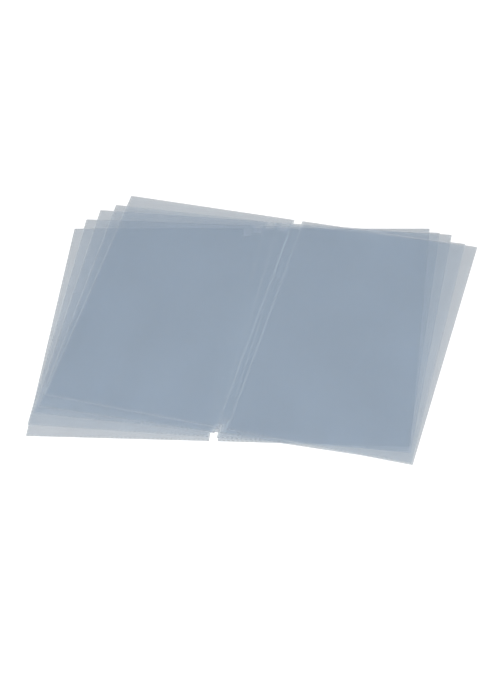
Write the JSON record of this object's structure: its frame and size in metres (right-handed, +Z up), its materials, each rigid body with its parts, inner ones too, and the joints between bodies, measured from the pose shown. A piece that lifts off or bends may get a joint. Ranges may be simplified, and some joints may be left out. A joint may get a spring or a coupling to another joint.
{
  "type": "sheet protector",
  "caption": "Fanned clear film sheet protectors, each with a left and a right pocket joined at a folding spine that is notched at both ends for a binding cord.",
  "frame": {"origin": "centre of the fan's box, on the surface that it lies on", "axes": "+X across the pages to the right, +Y up the page along the middle sheet's spine, +Z up"},
  "size_m": [0.5096, 0.3602, 0.0029],
  "materials": {
    "clear_film": "clear soft film with a faint blue-grey tint and a satin surface",
    "weld_seam": "both films pressed together with a fine rib pattern, a little milky"
  },
  "bodies": {
    "sheet_1_right_page": {"sheet_1_right_back_film": "clear_film", "sheet_1_right_front_film": "clear_film", "sheet_1_right_edge_weld": "weld_seam", "sheet_1_right_bottom_weld": "weld_seam", "sheet_1_right_spine_weld": "weld_seam", "sheet_1_spine_strip": "clear_film"},
    "sheet_1_left_page": {"sheet_1_left_back_film": "clear_film", "sheet_1_left_front_film": "clear_film", "sheet_1_left_edge_weld": "weld_seam", "sheet_1_left_bottom_weld": "weld_seam", "sheet_1_left_spine_weld": "weld_seam"},
    "sheet_2_right_page": {"sheet_2_right_back_film": "clear_film", "sheet_2_right_front_film": "clear_film", "sheet_2_right_edge_weld": "weld_seam", "sheet_2_right_bottom_weld": "weld_seam", "sheet_2_right_spine_weld": "weld_seam", "sheet_2_spine_strip": "clear_film"},
    "sheet_2_left_page": {"sheet_2_left_back_film": "clear_film", "sheet_2_left_front_film": "clear_film", "sheet_2_left_edge_weld": "weld_seam", "sheet_2_left_bottom_weld": "weld_seam", "sheet_2_left_spine_weld": "weld_seam"},
    "sheet_3_right_page": {"sheet_3_right_back_film": "clear_film", "sheet_3_right_front_film": "clear_film", "sheet_3_right_edge_weld": "weld_seam", "sheet_3_right_bottom_weld": "weld_seam", "sheet_3_right_spine_weld": "weld_seam", "sheet_3_spine_strip": "clear_film"},
    "sheet_3_left_page": {"sheet_3_left_back_film": "clear_film", "sheet_3_left_front_film": "clear_film", "sheet_3_left_edge_weld": "weld_seam", "sheet_3_left_bottom_weld": "weld_seam", "sheet_3_left_spine_weld": "weld_seam"},
    "sheet_4_right_page": {"sheet_4_right_back_film": "clear_film", "sheet_4_right_front_film": "clear_film", "sheet_4_right_edge_weld": "weld_seam", "sheet_4_right_bottom_weld": "weld_seam", "sheet_4_right_spine_weld": "weld_seam", "sheet_4_spine_strip": "clear_film"},
    "sheet_4_left_page": {"sheet_4_left_back_film": "clear_film", "sheet_4_left_front_film": "clear_film", "sheet_4_left_edge_weld": "weld_seam", "sheet_4_left_bottom_weld": "weld_seam", "sheet_4_left_spine_weld": "weld_seam"},
    "sheet_5_right_page": {"sheet_5_right_back_film": "clear_film", "sheet_5_right_front_film": "clear_film", "sheet_5_right_edge_weld": "weld_seam", "sheet_5_right_bottom_weld": "weld_seam", "sheet_5_right_spine_weld": "weld_seam", "sheet_5_spine_strip": "clear_film"},
    "sheet_5_left_page": {"sheet_5_left_back_film": "clear_film", "sheet_5_left_front_film": "clear_film", "sheet_5_left_edge_weld": "weld_seam", "sheet_5_left_bottom_weld": "weld_seam", "sheet_5_left_spine_weld": "weld_seam"}
  },
  "joints": [
    {"name": "swivel_2", "type": "hinge", "parent": "sheet_1_right_page", "child": "sheet_2_right_page", "pos_m": [-0.00594, -0.15653, 0.00085], "axis": [0, 0, 1], "range_deg": [-12, 2.7]},
    {"name": "swivel_3", "type": "hinge", "parent": "sheet_2_right_page", "child": "sheet_3_right_page", "pos_m": [-0.00334, -0.15003, 0.00145], "axis": [0, 0, 1], "range_deg": [-12, 2.3]},
    {"name": "swivel_4", "type": "hinge", "parent": "sheet_3_right_page", "child": "sheet_4_right_page", "pos_m": [0.00016, -0.15113, 0.00205], "axis": [0, 0, 1], "range_deg": [-12, 2.8]},
    {"name": "swivel_5", "type": "hinge", "parent": "sheet_4_right_page", "child": "sheet_5_right_page", "pos_m": [0.00266, -0.14433, 0.00265], "axis": [0, 0, 1], "range_deg": [-12, 2.5]},
    {"name": "fold_1", "type": "hinge", "parent": "sheet_1_right_page", "child": "sheet_1_left_page", "pos_m": [-0.00414, -0.16053, 0.0005], "axis": [-0.0872, 0.9962, 0], "range_deg": [0, 106.81], "deforming": ["sheet_1_spine_strip"]},
    {"name": "fold_2", "type": "hinge", "parent": "sheet_2_right_page", "child": "sheet_2_left_page", "pos_m": [-0.00594, -0.15653, 0.0011], "axis": [-0.0401, 0.9992, 0], "range_deg": [0, 142.41], "deforming": ["sheet_2_spine_strip"]},
    {"name": "fold_3", "type": "hinge", "parent": "sheet_3_right_page", "child": "sheet_3_left_page", "pos_m": [-0.00334, -0.15003, 0.0017], "axis": [0, 1, 0], "range_deg": [0, 154.87], "deforming": ["sheet_3_spine_strip"]},
    {"name": "fold_4", "type": "hinge", "parent": "sheet_4_right_page", "child": "sheet_4_left_page", "pos_m": [0.00016, -0.15113, 0.0023], "axis": [0.0488, 0.9988, 0], "range_deg": [0, 165.55], "deforming": ["sheet_4_spine_strip"]},
    {"name": "fold_5", "type": "hinge", "parent": "sheet_5_right_page", "child": "sheet_5_left_page", "pos_m": [0.00266, -0.14433, 0.0029], "axis": [0.0924, 0.9957, 0], "range_deg": [0, 178], "deforming": ["sheet_5_spine_strip"]}
  ],
  "couplings": [
    {"joint": "fold_1", "follows": "fold_5", "ratio": 0.6},
    {"joint": "fold_2", "follows": "fold_5", "ratio": 0.8},
    {"joint": "fold_3", "follows": "fold_5", "ratio": 0.87},
    {"joint": "fold_4", "follows": "fold_5", "ratio": 0.93}
  ]
}
